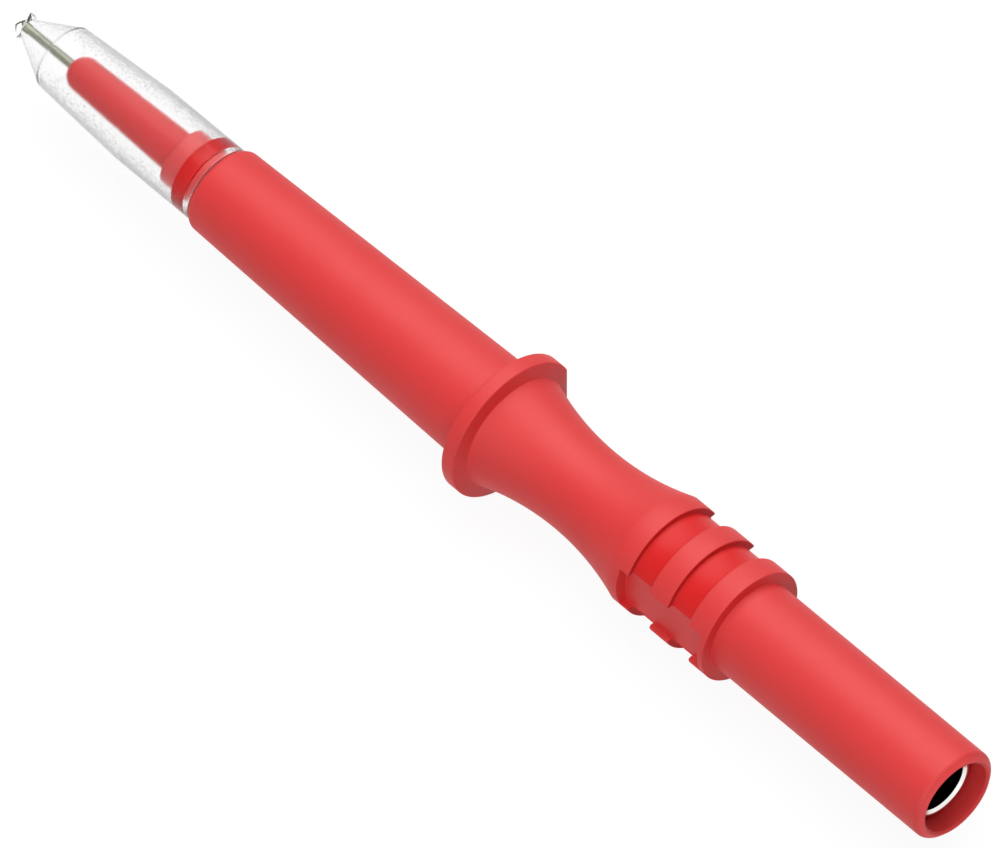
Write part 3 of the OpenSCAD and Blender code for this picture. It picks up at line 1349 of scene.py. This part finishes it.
@dataclass
class Studio:
    """Floor, light and camera."""

    floor: StudioFloor = field(default_factory=StudioFloor)
    lamps: tuple[Lamp, ...] = (KEY, FRONT)
    lamp_target: Spot = (-0.04, 0.0, 0.0)
    floor_z: float = -5.25
    floor_half: float = 3000.0
    world_fill: float = 0.072
    azimuth: float = 47.2
    elevation: float = 50.17
    lens: float = 1400.0
    sensor: float = 36.0
    clip: Point = (0.1, 10.0)
    frame_width: float = 64.1
    shift_right: float = -29.12
    shift_up: float = 23.876
    depth_middle: float = 20.7

    def build(self) -> None:
        """Builds the studio."""
        self.lay_floor()
        self.light_world()
        for lamp in self.lamps:
            lamp.hang(Vector(self.lamp_target))
        self.set_camera()

    def lay_floor(self) -> None:
        """Lays the floor under the finger guard."""
        half, z = self.floor_half * MM, self.floor_z * MM
        mesh = bpy.data.meshes.new("floor")
        corners = [(-half, -half, z), (half, -half, z), (half, half, z), (-half, half, z)]
        mesh.from_pydata(corners, [], [(0, 1, 2, 3)])
        floor = bpy.data.objects.new("floor", mesh)
        floor.data.materials.append(self.floor.make())
        bpy.context.scene.collection.objects.link(floor)

    def light_world(self) -> None:
        """Gives the world a soft light, shown as white."""
        world = bpy.data.worlds.new("studio")
        bpy.context.scene.world = world
        world.use_nodes = True
        tree = Tree(world.node_tree)
        seen = seen_directly(tree)
        strength = seen + (1 - seen) * self.world_fill
        light = tree.node("ShaderNodeBackground", {}, {"Color": WHITE, "Strength": strength})
        tree.node("ShaderNodeOutputWorld", {}, {"Surface": light})

    def set_camera(self) -> None:
        """Sets the camera at the photograph's viewing angle."""
        a, e = math.radians(self.azimuth), math.radians(self.elevation)
        back = Vector((math.sin(a) * math.cos(e), -math.cos(a) * math.cos(e), math.sin(e)))
        right = Vector((math.cos(a), math.sin(a), 0))
        up = back.cross(right)
        middle = Vector((RIM_X, 0, 0)) + right * self.shift_right + up * self.shift_up
        lens = bpy.data.cameras.new("view")
        lens.lens = self.lens
        lens.sensor_width = self.sensor
        lens.clip_start, lens.clip_end = self.clip
        distance = self.frame_width / self.sensor * self.lens - self.depth_middle
        camera = bpy.data.objects.new("view", lens)
        camera.location = (middle + back * distance) * MM
        camera.rotation_mode = "QUATERNION"
        camera.rotation_quaternion = back.to_track_quat("Z", "Y")
        bpy.context.scene.collection.objects.link(camera)
        bpy.context.scene.camera = camera


# Finishes of this probe, some with light and shade painted into their colours

RED_BASE, RED_SHADE = (0.8, 0.026, 0.026), (0.76, 0.022, 0.022)
# The groove floors are smoother with less specular, and painted a deeper, purer red: painted
# shade.
GROOVE_POLISH_AND_SHADE = PaintedPatch(start=21.18, end=26.72, radius=3.75)
# The rim's chamfer is painted a brighter red with full specular: a painted highlight.
RIM_HIGHLIGHT = PaintedPatch(
    start=0.02, end=0.16, radius=3.08, band=0.28, fade=0.36,
    base=(0.97, 0.046, 0.046), roughness=0.6, specular=1.0,
)
# Two of the ribs' rear faces are painted a darker red: painted shade.
RIB_WALL_SHADE = tuple(
    PaintedPatch(
        start=at - 0.02, end=at + 0.02, radius=3.94, band=0.19,
        base=(0.62, 0.016, 0.016), roughness=0.6,
    )
    for at in (23.06, 26.72)
)
# The collar, seen through the cap, is painted a lighter and whiter red: painted light and a
# painted sheen.
COLLAR_LIGHT_AND_SHEEN = PaintedPatch(
    start=69.34, end=72.7, radius=2.0, band=0.12,
    base=(0.82, 0.056, 0.056), roughness=0.57, specular=0.73,
)
# The nose, seen through the cap, is painted a darker and whiter red with less specular: painted
# shade and a painted sheen.
NOSE_SHADE_AND_SHEEN = PaintedPatch(
    start=72.9, end=83.4, radius=1.0, band=0.55,
    base=(0.75, 0.054, 0.054), roughness=0.6, specular=0.35,
)
RED = MouldedPlastic("red_moulding", RED_BASE, RED_SHADE, painted_patches=(GROOVE_POLISH_AND_SHADE, RIM_HIGHLIGHT, *RIB_WALL_SHADE))
BARREL_RED = MouldedPlastic("barrel_moulding_red", RED_BASE, RED_SHADE, painted_patches=(COLLAR_LIGHT_AND_SHEEN, NOSE_SHADE_AND_SHEEN))
BAND_RED = MouldedPlastic(
    "band_rubber_red",
    base=(0.9, 0.006, 0.006),
    shade=(0.86, 0.005, 0.005),
    roughness=0.35,
    specular=0.3,
    grain=0.05,
)
CLEAR = ClearPlastic("clear_moulding")
STEEL = TurnedMetal(
    "needle_steel_ground",
    base=(0.25, 0.255, 0.2),
    dark=(0.205, 0.21, 0.16),
    roughness=0.35,
    # The point is painted light from 87.72 and near black from 88.02: a painted highlight and a
    # painted shade.
    painted_light_bands=((87.72, (0.56, 0.56, 0.5)), (88.02, (0.05, 0.05, 0.05))),
)
PLATED = TurnedMetal(
    "contact_plating",
    base=(0.93, 0.93, 0.9),
    dark=(0.84, 0.84, 0.8),
    roughness=0.22,
    # Inside its bore the contact is painted near black: painted shade.
    inside=(2.02, (0.012, 0.012, 0.013)),
)
BRASS = TurnedMetal("rod_brass_turned", base=(0.72, 0.5, 0.2), dark=(0.6, 0.4, 0.15))
SPRING = TurnedMetal("clamp_spring_steel", base=(0.5, 0.5, 0.52), dark=(0.4, 0.4, 0.42))


def main() -> None:
    """Builds the scene."""
    logging.basicConfig(level=logging.INFO, format="%(name)s: %(message)s")
    bpy.context.scene.view_settings.view_transform = "Standard"
    Handle(RED).build()
    Barrel(BARREL_RED).build()
    CapBand(BAND_RED).build()
    TipCap(CLEAR).build()
    Needle(STEEL).build()
    metals = {"socket_contact": PLATED, "contact_rod": BRASS, "clamp_ring": SPRING}
    Conductors(metals).build()
    Studio().build()


if __name__ == "__main__":
    main()
